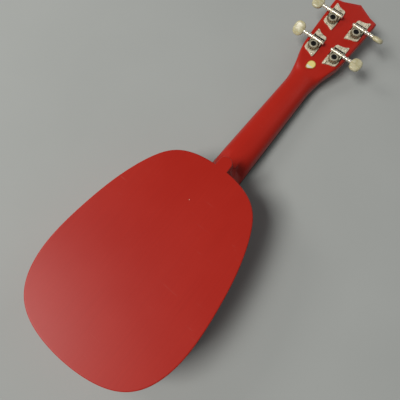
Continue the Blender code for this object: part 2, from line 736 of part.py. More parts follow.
def make_strings():
    nut_rows, saddle_rows = string_rows(NUT_SPREAD), string_rows(SADDLE_SPREAD)
    for i, name in enumerate(STRINGS):
        radius = STRING_RADII[i]
        side, x, y = TUNER_PLACES[name]
        over_saddle = Z_BOARD - SADDLE_HEIGHT + radius
        over_nut = Z_BOARD - NUT_HEIGHT + radius
        bridge_low = Z_BOARD - GAP - BRIDGE_HEIGHT
        route = [(saddle_rows[i], BRIDGE_REAR + 0.0008, bridge_low + SLOT_DEPTH - 0.0012),
                 (saddle_rows[i], Y_SADDLE - 0.0050, bridge_low + 0.0006),
                 (saddle_rows[i], Y_SADDLE - 0.0014, over_saddle + 0.0002),
                 (saddle_rows[i], Y_SADDLE + 0.0008, over_saddle),
                 (nut_rows[i], Y_NUT - 0.0002, over_nut),
                 (nut_rows[i], Y_NUT + NUT_LENGTH, over_nut)]
        wrap = POST_RADIUS - 0.0004 + GAP + radius
        steps = 10
        for step in range(int(WINDINGS * steps) + 1):
            turn = step / steps
            angle = math.pi - side * 0.15 if side > 0 else 0.15
            angle = angle - side * 2 * math.pi * turn
            depth = -0.0042 - WINDING_RISE * turn
            local = Vector((side * x + wrap * math.cos(angle), y + wrap * math.sin(angle), depth))
            route.append(tuple(HEAD @ local))
        curve = bpy.data.curves.new(f"string_{name}", "CURVE")
        curve.dimensions = "3D"
        curve.bevel_depth = radius
        curve.bevel_resolution = 1
        curve.use_fill_caps = True
        spline = curve.splines.new("POLY")
        spline.points.add(len(route) - 1)
        for point, place in zip(spline.points, route):
            point.co = (*place, 1)
        add(f"string_{name}", curve, "nylon")


make_panels()
make_walls()
make_blocks()
make_braces()
make_bridge()
make_neck()
make_fingerboard()
make_frets()
make_tuners()
make_strings()
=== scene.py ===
"""Soprano pineapple ukulele, lying face down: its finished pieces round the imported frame, in metres."""

import json
import math

import bmesh
import bpy
from mathutils import Matrix, Vector


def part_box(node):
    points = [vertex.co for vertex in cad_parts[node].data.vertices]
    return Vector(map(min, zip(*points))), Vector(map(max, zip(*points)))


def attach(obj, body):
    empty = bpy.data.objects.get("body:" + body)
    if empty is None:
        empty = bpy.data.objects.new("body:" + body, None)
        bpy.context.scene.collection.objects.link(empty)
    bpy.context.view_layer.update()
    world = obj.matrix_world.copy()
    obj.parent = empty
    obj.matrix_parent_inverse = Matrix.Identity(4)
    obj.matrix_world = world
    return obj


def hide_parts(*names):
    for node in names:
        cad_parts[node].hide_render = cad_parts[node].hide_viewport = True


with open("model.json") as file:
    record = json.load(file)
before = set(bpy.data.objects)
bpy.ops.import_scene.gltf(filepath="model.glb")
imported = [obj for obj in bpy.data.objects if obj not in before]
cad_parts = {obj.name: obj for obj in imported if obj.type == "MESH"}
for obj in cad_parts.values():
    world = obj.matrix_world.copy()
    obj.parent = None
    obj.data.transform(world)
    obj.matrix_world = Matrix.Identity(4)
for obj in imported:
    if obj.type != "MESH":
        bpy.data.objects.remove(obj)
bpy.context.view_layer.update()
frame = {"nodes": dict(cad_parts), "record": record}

# Sizes that the frame gives
BACK_LOW, BACK_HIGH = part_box("back_panel")
FACE_LOW, FACE_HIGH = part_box("soundboard")
NUT_LOW, NUT_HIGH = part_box("nut")
SADDLE_LOW, SADDLE_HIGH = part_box("saddle")
BRIDGE_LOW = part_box("bridge")[0]
BOARD_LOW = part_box("fingerboard")[0]
Z_BACK, Z_BOARD = BACK_HIGH.z, FACE_LOW.z
PANEL = Z_BACK - BACK_LOW.z
Y_BOTTOM, Y_JOINT = BACK_LOW.y, FACE_HIGH.y
Y_NUT, NUT_LENGTH = NUT_LOW.y, NUT_HIGH.y - NUT_LOW.y
Y_SADDLE = (SADDLE_LOW.y + SADDLE_HIGH.y) / 2
Y_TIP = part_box("neck")[1].y
GAP = 0.0003
TOUCHING = 1e-7  # points closer than this are one

# The body's outline: half-width is sin(t) times this cosine series, t from the neck to the tail
OUTLINE_TERMS = (0.1047, -0.0118, 0.0251, 0.0008, 0.0052, 0.0003, 0.0011)
WALL = 0.0020
TAB_HALF_WIDTH = 0.0076
TAB_LENGTH = 0.0145
HOLE_RADIUS = 0.0245
Y_HOLE = Y_JOINT - 0.076
# Rings inlaid round the soundhole: inner and outer radius
HOLE_RINGS = {"inner": (0.0264, 0.0270), "middle": (0.0274, 0.0288), "outer": (0.0292, 0.0298)}

# Neck and headstock; the head's own frame has y towards the tip and z out of its back
NUT_WIDTH = 0.0342
NECK_TAPER = 0.0460  # width gained per metre towards the body
BOARD_OVERHANG = 0.0003  # how far the fingerboard stands out beside the neck
HEAD_TILT = math.radians(4)
HEAD_STEP = 0.0025
HEAD_THICK = 0.0125
HEAD_HALF_WIDTH = 0.0312
CROWN_DROP = 0.0110
HEAD_START = -0.034  # where the flare begins, from the nut
HEAD_WIDTHS = ((HEAD_START, 0.0176), (-0.022, 0.0173), (-0.010, 0.0174), (0.004, 0.0192),
               (0.017, 0.0223), (0.029, 0.0260), (0.041, 0.0278), (0.067, 0.0295),
               (0.107, HEAD_HALF_WIDTH), (0.137, HEAD_HALF_WIDTH + 0.0006))
NECK_DEPTHS = ((0.0, 0.0172), (0.060, 0.0160), (0.155, 0.0138), (0.171, 0.0138))
HEEL_TOP = Z_BACK - PANEL - Z_BOARD
HEEL_START, HEEL_REACH, HEEL_FALL = 0.0105, 0.034, 2.6  # past the body, its length, its curve
HEEL_CREST = 0.0066  # half the width of its ridge
HEAD_ORIGIN = Vector((0, Y_NUT + NUT_LENGTH, Z_BOARD + HEAD_STEP))
HEAD = Matrix.Translation(HEAD_ORIGIN) @ Matrix.Rotation(HEAD_TILT, 4, "X")

LABEL_SIZE = (0.0053, 0.0058)  # half across, half along
LABEL_POINT = math.radians(-117)
LABEL_STRETCH = 0.42  # how far the point stands out, as a share
DOT_RADIUS = 0.0025
DOTTED_SPACES = (5, 7, 10, 12)

# Tuners: side, place across and along the headstock
TUNERS = {"g": (1, 0.0152, 0.0315), "c": (1, 0.0174, 0.0775),
          "e": (-1, 0.0174, 0.0775), "a": (-1, 0.0152, 0.0315)}
PLATE_THICK = 0.0012
GEAR_TEETH = 14
MODULE = 0.00085  # pitch diameter per tooth
GEAR_THICK = 0.0042
PITCH = math.pi * MODULE
GEAR_RADIUS = GEAR_TEETH * MODULE / 2
WORM_PITCH_RADIUS = 0.0029
ADDENDUM = 0.0005
DEDENDUM = 0.0007
BACKLASH = 0.00034
WORM_Y = GEAR_RADIUS + WORM_PITCH_RADIUS + 0.0001
WORM_Z = PLATE_THICK + 0.0039
WORM_TURNS = 3.5
EAR_X = 0.0062
EAR_THICK = 0.0010
BUTTON_START = 0.0198
BUTTON_SIZE = (0.0145, 0.0175, 0.0061)
BUTTON_TURNS = {"g": 0, "c": -45, "e": 0, "a": 40}  # degrees at rest, from flat
POST_RADIUS = 0.0029
POST_REACH = 0.0130
HOLE_DEPTH = 0.0085  # of the string's hole in the post, out from the head's front

# Strings
STRINGS = ("g", "c", "e", "a")
STRING_RADII = {"g": 0.00035, "c": 0.00045, "e": 0.00040, "a": 0.00033}
NUT_SPREAD = 0.0088  # from string to string
SADDLE_SPREAD = 0.0135
NUT_HEIGHT = 0.0064
WINDINGS = 2.25
WINDING_RISE = 0.00135  # along the post, per turn
WINDING_START = -0.0042


# Finishes --------------------------------------------------------------------------------------

class Amount:
    """A number that changes over the surface; arithmetic on it adds Math nodes."""

    def __init__(self, finish, socket):
        self.finish, self.socket = finish, socket

    def maths(self, operation, first, second):
        return self.finish.add("ShaderNodeMath", {"operation": operation}, {0: first, 1: second})

    def __add__(self, other):
        return self.maths("ADD", self, other)

    def __sub__(self, other):
        return self.maths("SUBTRACT", self, other)

    def __rsub__(self, other):
        return self.maths("SUBTRACT", other, self)

    def __mul__(self, other):
        return self.maths("MULTIPLY", self, other)

    __radd__, __rmul__ = __add__, __mul__


class Finish:
    """A material for one of the record's slots."""

    def __init__(self, name, slot, **steady):
        self.slot = slot
        self.material = bpy.data.materials.new(name)
        self.material.use_nodes = True
        self.tree = self.material.node_tree
        self.shader = self.tree.nodes["Principled BSDF"]
        for word, value in steady.items():
            self.shader.inputs[word.replace("_", " ")].default_value = value

    def add(self, kind, settings=None, sockets=None, output=0):
        """A node of any type: its settings first, then the values or links of its sockets."""
        node = self.tree.nodes.new(kind)
        for word, value in (settings or {}).items():
            if word == "stops":
                self.set_stops(node.color_ramp, value)
            else:
                setattr(node, word, value)
        for key, value in (sockets or {}).items():
            if isinstance(value, Amount):
                self.tree.links.new(value.socket, node.inputs[key])
            else:
                node.inputs[key].default_value = value
        return Amount(self, node.outputs[output])

    @staticmethod
    def set_stops(ramp, stops):
        while len(ramp.elements) < len(stops):
            ramp.elements.new(0.5)
        for element, (place, colour) in zip(ramp.elements, stops):
            element.position, element.color = place, (*colour, 1)

    def feed(self, word, value):
        self.tree.links.new(value.socket, self.shader.inputs[word])

    def place(self, scale=(1, 1, 1), turn=(0, 0, 0), shift=(0, 0, 0)):
        """Object coordinates, stretched, turned and moved."""
        here = self.add("ShaderNodeTexCoord", output="Object")
        return self.add("ShaderNodeMapping", None, {"Vector": here, "Scale": scale, "Rotation": turn,
                                                    "Location": shift})

    def noise(self, where, scale, detail=3.0, roughness=0.5):
        return self.add("ShaderNodeTexNoise", None, {"Vector": where, "Scale": scale,
                                                     "Detail": detail, "Roughness": roughness})

    def ramp(self, amount, low, high, start=0.0, end=1.0):
        """The amount's range from low to high, spread from start to end."""
        return self.add("ShaderNodeMapRange", {"clamp": True},
                        {"Value": amount, "From Min": low, "From Max": high,
                         "To Min": start, "To Max": end})

    def mix(self, share, first, second):
        first = (*first, 1) if isinstance(first, tuple) else first
        second = (*second, 1) if isinstance(second, tuple) else second
        return self.add("ShaderNodeMix", {"data_type": "RGBA"}, {0: share, 6: first, 7: second}, 2)

    def bump(self, height, depth, strength=1.0):
        self.feed("Normal", self.add("ShaderNodeBump", None, {"Height": height, "Distance": depth,
                                                              "Strength": strength}))


def red_lacquer():
    """Satin red lacquer, with faint grain under it, handling marks and one chip in the back."""
    finish = Finish("red_lacquer_satin", "red_lacquer", Specular_IOR_Level=0.31, Coat_Roughness=0.35)
    grain = finish.noise(finish.place((420, 16, 420)), 1.0, 4.0, 0.6)
    cloud = finish.noise(finish.place(), 11.0, 3.0)
    dust = finish.noise(finish.place(), 900.0, 2.0)
    scratch = finish.noise(finish.place((38, 900, 300), (0, 0, 0.7)), 1.0, 2.0)
    scratches = finish.ramp(scratch, 0.70, 0.76) * finish.ramp(cloud, 0.48, 0.62)
    colour = finish.mix(finish.ramp(cloud, 0.30, 0.70),
                        (0.405, 0.0135, 0.0055), (0.435, 0.0165, 0.0070))
    colour = finish.mix(finish.ramp(grain, 0.35, 0.70) * 0.16, colour, (0.31, 0.010, 0.005))
    colour = finish.mix(scratches * 0.25, colour, (0.52, 0.12, 0.09))
    offset = finish.add("ShaderNodeVectorMath", {"operation": "DISTANCE"},
                        {0: finish.place(), 1: CHIP_PLACE}, "Value")
    ragged = offset + finish.noise(finish.place(), 1500.0) * 0.0006
    chip = finish.ramp(ragged, 0.00085, 0.00060)
    finish.feed("Base Color", finish.mix(chip, colour, (0.60, 0.42, 0.30)))
    satin = 0.375 + finish.ramp(cloud, 0.35, 0.65) * 0.05 + scratches * 0.14
    finish.feed("Roughness", satin + finish.ramp(dust, 0.6, 0.7) * 0.04 + chip * 0.2)
    finish.feed("Coat Weight", 0.06 - chip * 0.06)
    finish.bump(grain * 0.5 + dust * 0.12 - chip * 2.0 - scratches * 0.3, 0.00006)
    return finish


def bare_wood():
    """Pale planed wood for the blocks, linings and braces."""
    finish = Finish("bare_wood_planed", "bare_wood", Specular_IOR_Level=0.30)
    rings = finish.noise(finish.place((260, 12, 260)), 1.0, 5.0, 0.65)
    pores = finish.noise(finish.place((2400, 90, 2400)), 1.0, 2.0)
    colour = finish.add("ShaderNodeValToRGB", {"stops": (
        (0.30, (0.42, 0.25, 0.12)), (0.52, (0.60, 0.40, 0.22)), (0.75, (0.70, 0.51, 0.31)))},
        {"Fac": rings})
    colour = finish.mix(finish.ramp(pores, 0.60, 0.75) * 0.4, colour, (0.33, 0.19, 0.09))
    finish.feed("Base Color", colour)
    finish.feed("Roughness", 0.62 + pores * 0.2)
    finish.bump(rings + pores, 0.00008)
    return finish


def dark_wood():
    """Stained dark wood with long pores, worn smoother in places."""
    finish = Finish("dark_wood_oiled", "dark_wood", Specular_IOR_Level=0.22)
    rings = finish.noise(finish.place((520, 18, 520)), 1.0, 5.0, 0.6)
    pores = finish.ramp(finish.noise(finish.place((3000, 140, 3000)), 1.0, 2.0), 0.58, 0.70)
    cloud = finish.noise(finish.place(), 40.0)
    colour = finish.mix(finish.ramp(rings, 0.35, 0.70), (0.014, 0.008, 0.006), (0.062, 0.030, 0.019))
    finish.feed("Base Color", finish.mix(pores * 0.7, colour, (0.010, 0.006, 0.005)))
    finish.feed("Roughness", 0.46 + finish.ramp(cloud, 0.35, 0.65) * 0.12 + pores * 0.15)
    finish.bump(rings * 0.4 - pores, 0.00008)
    return finish


def white_plastic():
    """Yellowed white plastic, polished, for the nut, the saddle and the inlays."""
    tint = Vector((0.78, 0.74, 0.62))
    finish = Finish("white_plastic_polished", "white_plastic", Subsurface_Weight=0.08,
                    Subsurface_Radius=(0.004, 0.003, 0.002))
    cloud = finish.noise(finish.place(), 160.0, 4.0)
    fine = finish.noise(finish.place(), 2200.0, 2.0)
    finish.feed("Base Color", finish.mix(finish.ramp(cloud, 0.3, 0.7), tuple(tint), tuple(tint * 0.90)))
    finish.feed("Roughness", 0.26 + finish.ramp(fine, 0.4, 0.7) * 0.10)
    finish.bump(fine, 0.00002)
    return finish


def metal(name, slot, bright, dull, rough, brush, tarnish, metallic=1.0, blotch=190.0):
    """Plated metal: brushed lines along one direction, with dull spots in the plating."""
    finish = Finish(name, slot, Metallic=metallic)
    lines = finish.noise(finish.place(brush, (0.0, 0.0, 0.35)), 1.0, 3.0, 0.6)
    spots = finish.noise(finish.place(), blotch * 3.2, 5.0, 0.65)
    cloud = finish.noise(finish.place(), blotch, 3.0)
    worn = finish.ramp(spots, 0.52, 0.66) * tarnish + finish.ramp(cloud, 0.50, 0.68) * tarnish * 0.6
    finish.feed("Base Color", finish.mix(worn, bright, dull))
    finish.feed("Roughness", rough + lines * 0.14 + worn * 0.22)
    finish.bump(lines - worn * 0.6, 0.00004)
    return finish


def cream_pearl():
    """Cream plastic with the soft swirled bands of imitation pearl."""
    finish = Finish("cream_pearl", "cream_plastic", Subsurface_Weight=0.15,
                    Subsurface_Radius=(0.006, 0.004, 0.002), Coat_Weight=0.15, Coat_Roughness=0.18)
    bend = finish.noise(finish.place(), 130.0, 2.0)
    swirl = finish.add("ShaderNodeTexNoise", None, {
        "Vector": finish.place((150, 520, 260), (0.3, 0.2, 0.6)), "Scale": 1.0, "Detail": 3.0,
        "Distortion": bend * 2.2})
    finish.feed("Base Color", finish.add("ShaderNodeValToRGB", {"stops": (
        (0.28, (0.41, 0.36, 0.19)), (0.48, (0.51, 0.465, 0.275)), (0.66, (0.60, 0.56, 0.385)))},
        {"Fac": swirl}))
    finish.feed("Roughness", 0.24 + bend * 0.14)
    finish.bump(swirl, 0.00004)
    return finish


def nylon():
    """Clear drawn nylon, cloudy where it is thick."""
    finish = Finish("clear_nylon", "nylon", Subsurface_Weight=0.2,
                    Subsurface_Radius=(0.002, 0.002, 0.002))
    drawn = finish.noise(finish.place((900, 60, 900)), 1.0, 2.0)
    finish.feed("Base Color", finish.mix(drawn, (0.70, 0.70, 0.67), (0.83, 0.83, 0.80)))
    finish.feed("Roughness", 0.20 + drawn * 0.16)
    return finish


def gold_foil():
    """The plain label: a gold rim, a yellow field and a pale silvery foot, which is a painted highlight:
    glare on the label's point.
    """
    finish = Finish("gold_foil", "cream_plastic", Coat_Weight=0.4, Coat_Roughness=0.15)
    local = finish.place((1, 1, 1), (0, 0, 0), (-LABEL_PLACE[0], -LABEL_PLACE[1], -LABEL_PLACE[2]))
    parts = finish.add("ShaderNodeSeparateXYZ", None, {"Vector": local}, "Y")
    fleck = finish.noise(finish.place(), 1400.0, 3.0)
    # painted highlight: the pale silvery foot stands for glare on the label's point
    foot = finish.ramp(parts + fleck * 0.0012, -0.0016, -0.0028)
    field = finish.mix(finish.ramp(fleck, 0.40, 0.62), (0.86, 0.72, 0.16), (0.95, 0.88, 0.36))
    finish.feed("Base Color", finish.mix(foot, field, (0.80, 0.80, 0.70)))
    finish.feed("Metallic", finish.ramp(fleck, 0.45, 0.60) * 0.35)
    finish.feed("Roughness", 0.34 + fleck * 0.18)
    finish.bump(fleck, 0.00004)
    return finish


def black_screw():
    """Blackened steel, for the gear screws, and for the pads of painted shade under the plates."""
    finish = Finish("black_oxide", "nickel", Metallic=0.6)
    fine = finish.noise(finish.place(), 1600.0, 3.0)
    finish.feed("Base Color", finish.mix(fine, (0.003, 0.003, 0.004), (0.014, 0.013, 0.012)))
    finish.feed("Roughness", 0.42 + fine * 0.2)
    finish.bump(fine, 0.00003)
    return finish


# Shaping ---------------------------------------------------------------------------------------

LEVEL = 0.9995  # the least cosine between a flat face's normal and its axis
HALVINGS = 40  # in a search along the outline
STEEP = 60  # degrees: rims fold by more, the bends beside them by less


def piece(name, bm, finish, body="root", stands_for=(), sharp=32):
    """A finished piece from a bmesh, riding on a body."""
    mesh = bpy.data.meshes.new(name)
    bm.to_mesh(mesh)
    bm.free()
    mesh.shade_smooth()
    mesh.set_sharp_from_angle(angle=math.radians(sharp))
    return enter(bpy.data.objects.new(name, mesh), finish, body, stands_for)


def enter(obj, finish, body, stands_for=()):
    """Puts an object in the scene with its finish, on its body, for the nodes that it stands for."""
    bpy.context.scene.collection.objects.link(obj)
    obj.data.materials.clear()
    obj.data.materials.append(finish.material)
    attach(obj, body)
    if stands_for:
        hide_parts(*stands_for)
    return obj


def add_shell(bm, shell, place=None):
    """Adds a shell's mesh to another, in its place."""
    if place:
        bmesh.ops.transform(shell, matrix=place, verts=shell.verts)
    mesh = bpy.data.meshes.new("shell")
    shell.to_mesh(mesh)
    shell.free()
    bm.from_mesh(mesh)
    bpy.data.meshes.remove(mesh)


def faces_out(bm):
    """Turns every face outwards."""
    bmesh.ops.recalc_face_normals(bm, faces=bm.faces)
    return bm


def round_edges(bm, width, segments=3, turn=35, test=None):
    """Rounds the edges that fold by more than turn degrees."""
    bm.normal_update()
    folded = [edge for edge in bm.edges if len(edge.link_faces) == 2
              and edge.calc_face_angle(0) > math.radians(turn)
              and (test is None or test((edge.verts[0].co + edge.verts[1].co) / 2))]
    bmesh.ops.bevel(bm, geom=folded, offset=width, offset_type="OFFSET", affect="EDGES",
                    segments=segments, profile=0.5, material=-1, clamp_overlap=True)
    return bm


def guard_flats(bm, axis, width):
    """A narrow band inside each flat, so that its shading stays flat up to the rounded rim."""
    bm.normal_update()
    for way in (1, -1):
        flats = [face for face in bm.faces if face.normal.dot(axis) * way > LEVEL]
        if flats:
            bmesh.ops.inset_region(bm, faces=flats, thickness=width, use_boundary=True,
                                   use_even_offset=True)
    return bm


def sheet(loops, low, high, rim=0.0, segments=3):
    """A flat outline from height low to high, with further loops as holes and rounded rims."""
    bm = bmesh.new()
    edges = []
    for loop in loops:
        verts = [bm.verts.new((x, y, low)) for x, y in loop]
        edges += [bm.edges.new(pair) for pair in zip(verts, verts[1:] + verts[:1])]
    if len(loops) > 1:
        bmesh.ops.triangle_fill(bm, use_beauty=True, edges=edges)
    else:
        bmesh.ops.contextual_create(bm, geom=edges)
    grown = bmesh.ops.extrude_face_region(bm, geom=bm.faces[:])["geom"]
    fresh = [item for item in grown if isinstance(item, bmesh.types.BMVert)]
    bmesh.ops.translate(bm, verts=fresh, vec=(0, 0, high - low))
    faces_out(bm)
    if rim:
        round_edges(bm, rim, segments, STEEP,
                    lambda at: min(abs(at.z - low), abs(at.z - high)) < TOUCHING)
        guard_flats(bm, Vector((0, 0, 1)), min(rim, 0.0004))
    return bm


def turned(profile, steps=32):
    """A profile of (radius, height) pairs, turned round Z."""
    bm = bmesh.new()
    verts = [bm.verts.new((radius, 0, height)) for radius, height in profile]
    edges = [bm.edges.new(pair) for pair in zip(verts, verts[1:])]
    bmesh.ops.spin(bm, geom=verts + edges, cent=(0, 0, 0), axis=(0, 0, 1), dvec=(0, 0, 0),
                   angle=2 * math.pi, steps=steps, use_merge=True, use_duplicate=False)
    bmesh.ops.remove_doubles(bm, verts=bm.verts, dist=TOUCHING)
    return faces_out(bm)


def ring(inner, outer, low, high, steps=64, rim=0.0001):
    """A flat ring about Z."""
    profile = [(inner, low), (outer, low), (outer, high), (inner, high), (inner, low)]
    return round_edges(turned(profile, steps), rim, 2)


def block(low, high, rim, segments=3):
    """A box from corner to corner, with its edges rounded."""
    low, high = Vector(low), Vector(high)
    bm = bmesh.new()
    bmesh.ops.create_cube(bm, size=1, matrix=Matrix.LocRotScale((low + high) / 2, None, high - low))
    return round_edges(bm, rim, segments)


def circle(radius, centre=(0, 0), steps=96):
    """Points on a circle, the first a little off the axis, so that none lines up with the outline."""
    start = 0.013
    return [(centre[0] + radius * math.cos(start + 2 * math.pi * i / steps),
             centre[1] + radius * math.sin(start + 2 * math.pi * i / steps)) for i in range(steps)]


def body_point(t, inset=0.0, side=1):
    """The outline at t, from 0 at the neck to pi at the tail, moved in by inset."""
    def at(angle):
        series = sum(term * math.cos(i * angle) for i, term in enumerate(OUTLINE_TERMS))
        down = (Y_JOINT - Y_BOTTOM) / 2 * (1 - math.cos(angle))
        return Vector((math.sin(angle) * series, Y_JOINT - down))

    step = 1e-4
    along = at(t + step) - at(t - step)
    point = at(t) + Vector((along.y, -along.x)).normalized() * inset
    return (side * point.x, point.y)


def body_arc(first, last, inset=0.0, side=1, steps=110):
    """Points along one side of the outline, from one angle to another."""
    return [body_point(first + (last - first) * i / steps, inset, side) for i in range(steps + 1)]


def outline_angle(test, first, last):
    """The angle where test(x, y) turns true, between two angles of the outline."""
    for _ in range(HALVINGS):
        middle = (first + last) / 2
        if test(*body_point(middle)):
            last = middle
        else:
            first = middle
    return last


def ease(t):
    """From 0 to 1 with a soft start and end."""
    t = min(max(t, 0), 1)
    return t * t * (3 - 2 * t)


def smooth(value, points):
    """A smooth curve through (position, amount) points, read at a value."""
    if value <= points[0][0]:
        return points[0][1]
    for i in range(len(points) - 1):
        (a, low), (b, high) = points[i], points[i + 1]
        if value > b:
            continue
        before = points[max(i - 1, 0)]
        after = points[min(i + 2, len(points) - 1)]
        slope_in = (high - before[1]) / (b - before[0])
        slope_out = (after[1] - low) / (after[0] - a)
        span, t = b - a, (value - a) / (b - a)
        return (low * (1 + 2 * t) * (1 - t) ** 2 + high * t * t * (3 - 2 * t)
                + span * t * (1 - t) * (slope_in * (1 - t) - slope_out * t))
    return points[-1][1]


# Body ------------------------------------------------------------------------------------------

def back_outline():
    """The body's outline with the heel cap: a round-ended tongue over the neck's heel."""
    start = outline_angle(lambda x, y: x > TAB_HALF_WIDTH, 0, 0.6)
    right = body_arc(start, math.pi)
    left = body_arc(math.pi, start, 0.0, -1)
    shoulder = Y_JOINT + TAB_LENGTH - TAB_HALF_WIDTH
    cap = [(-TAB_HALF_WIDTH * math.cos(a), shoulder + TAB_HALF_WIDTH * math.sin(a))
           for a in (math.pi * i / 28 for i in range(29))]
    return right + left[1:] + cap


def build_body(lacquer, dark, white):
    """The back and the front sheets, the wall in two halves and the rings round the soundhole."""
    piece("back_sheet", sheet([back_outline()], Z_BACK - PANEL, Z_BACK, 0.0011, 4), lacquer,
          stands_for=("back_panel",))
    whole = body_arc(0, math.pi) + body_arc(math.pi, 0, 0.0, -1)[1:-1]
    hole = circle(HOLE_RADIUS, (0, Y_HOLE))
    piece("front_sheet", sheet([whole, hole], Z_BOARD, Z_BOARD + PANEL, 0.0007, 3), lacquer,
          stands_for=("soundboard",))
    seam = 0.0008  # the angle that the wall stops short of, at the neck and at the tail
    for side, word in ((1, "right"), (-1, "left")):
        loop = body_arc(seam, math.pi - seam, 0.0, side) + body_arc(math.pi - seam, seam, WALL, side)
        wall = sheet([loop], Z_BOARD + PANEL, Z_BACK - PANEL)
        piece(f"wall_{word}", wall, lacquer, stands_for=(f"side_{word}",))
    at_hole = Matrix.Translation((0, Y_HOLE, Z_BOARD))
    for word, (inner, outer) in HOLE_RINGS.items():
        band = ring(inner, outer, -0.00008, 0.00040, 96, 0.00003)
        bmesh.ops.transform(band, matrix=at_hole, verts=band.verts)
        piece(f"soundhole_ring_{word}", band, dark if word == "middle" else white)


# Neck ------------------------------------------------------------------------------------------

NECK_POINTS = 44  # round the back of each section
NECK_STEP = 0.0030  # between sections
HEEL_STEP = 0.0012
HEEL_ZONE = 0.050  # the length of neck with the closer sections
CROWN_START = 0.030  # where the sections begin to follow the crown, from the tip
CROWN_ROWS = 8
NECK_ROUND, HEAD_SQUARE = 2.3, 11.3  # the power of a section's curve: near a circle, near a square
CREST_SHARE = 0.28  # how much of a heel section's points make its flat crest


def half_width(y):
    """Half the neck's or the head's width at a station."""
    past = y - Y_NUT
    if past < HEAD_START:
        return NUT_WIDTH / 2 - past * NECK_TAPER / 2 - BOARD_OVERHANG
    return smooth(past, HEAD_WIDTHS)


def front_height(y):
    """The neck's flat front, then the head's, stepped down and tilted back."""
    past = y - HEAD_ORIGIN.y
    if past < 0:
        return Z_BOARD
    return Z_BOARD + min(HEAD_STEP, past * 0.8) + past * math.tan(HEAD_TILT)


def back_height(y):
    """The back of the neck, of the head or of the heel, whichever stands highest."""
    head = HEAD_ORIGIN.z + (y - HEAD_ORIGIN.y) * math.tan(HEAD_TILT) + HEAD_THICK / math.cos(HEAD_TILT)
    neck = Z_BOARD + smooth(y - Y_JOINT, NECK_DEPTHS)
    blend = ease((y - Y_NUT + 0.007) / 0.034)
    run = min(max((y - Y_JOINT - HEEL_START) / HEEL_REACH, 0), 1)
    return max(neck + (head - neck) * blend, Z_BOARD + HEEL_TOP * (1 - run) ** HEEL_FALL)


def section(y):
    """Places across and shares of the depth, round the section: a D, a narrow heel or the head."""
    wide = half_width(y)
    power = NECK_ROUND + (HEAD_SQUARE - NECK_ROUND) * ease((y - Y_NUT + 0.001) / 0.022)
    heel = 1 - ease((y - Y_JOINT - 0.014) / 0.026)
    points = []
    for i in range(NECK_POINTS + 1):
        c, s = math.cos(math.pi * i / NECK_POINTS), math.sin(math.pi * i / NECK_POINTS)
        x = wide * math.copysign(abs(c) ** (2 / power), c)
        share = abs(s) ** (2 / power)
        out = max(abs(c) - CREST_SHARE, 0) / (1 - CREST_SHARE)
        flank = HEEL_CREST * c / CREST_SHARE
        if out:
            flank = math.copysign(HEEL_CREST + (wide - HEEL_CREST) * out ** 2.4, c)
        rise = (1 - out) ** 0.8
        points.append((x + (flank - x) * heel, share + (rise - share) * heel))
    return points + [(x, 0.0) for x, _ in reversed(points[1:-1])]


def body_edge(x):
    """The outline's station beside the neck, at a place across."""
    return body_point(outline_angle(lambda at, _: at > abs(x), 0, 0.9))[1]


def crown(x):
    """The head's end at a place across: a peak in the middle, falling to the corners."""
    return Y_TIP - CROWN_DROP * (1 - (1 - min(abs(x) / HEAD_HALF_WIDTH, 1)) ** 1.8)


def build_neck(lacquer):
    """Sections from the body to the crown, bridged, with the head's rim rounded."""
    bm = bmesh.new()
    start, corner = Y_TIP - CROWN_START, Y_TIP - CROWN_DROP
    stations = [Y_JOINT]
    y = Y_JOINT + 0.0016
    while y < start:
        stations.append(y)
        y += HEEL_STEP if y < Y_JOINT + HEEL_ZONE else NECK_STEP
    rings, edges = [], []
    shares = [i / CROWN_ROWS for i in range(CROWN_ROWS + 1)]
    rows = [(station, None) for station in stations] + [(start, share) for share in shares]
    for station, share in rows:
        across = section(station if share is None else start + share * (corner - start))
        loop = []
        for x, depth in across:
            at = station
            if share is not None:
                at = start + share * (crown(x) - start)
            elif station == Y_JOINT:
                at = body_edge(x) + 0.0001
            low, high = front_height(at), back_height(at)
            loop.append(bm.verts.new((x, at, low + (high - low) * depth)))
        rings.append(loop)
        edges += [bm.edges.new(pair) for pair in zip(loop, loop[1:] + loop[:1])]
    bmesh.ops.bridge_loops(bm, edges=edges)
    for loop in (rings[0], rings[-1]):
        back = loop[:NECK_POINTS + 1]
        front = [back[0]] + loop[:NECK_POINTS:-1] + [back[-1]]
        for i in range(NECK_POINTS):
            corners = dict.fromkeys((back[i], back[i + 1], front[i + 1], front[i]))
            bm.faces.new(list(corners))
    faces_out(bm)
    round_edges(bm, 0.0007, turn=40, test=lambda at: at.y > corner - 0.001)
    piece("neck_blank", bm, lacquer, stands_for=("neck",), sharp=40)


def build_label(foil, rim_metal):
    """A plain drop-shaped label in a thin raised rim, its point down the neck."""
    (across, along), steps = LABEL_SIZE, 72
    place = HEAD @ Matrix.Translation(LABEL_ON_HEAD)
    drop = []
    for i in range(steps):
        a = 2 * math.pi * i / steps
        reach = 1 + LABEL_STRETCH * max(math.cos(a - LABEL_POINT), 0) ** 7
        drop.append(Vector((across * math.cos(a), along * math.sin(a))) * reach)
    for word, share, lift, finish in (("rim", 1.0, 0.00016, rim_metal), ("field", 0.84, 0.00024, foil)):
        bm = sheet([[spot * share for spot in drop]], 0.0, lift, 0.00005, 2)
        bmesh.ops.transform(bm, matrix=place, verts=bm.verts)
        piece(f"label_{word}", bm, finish)


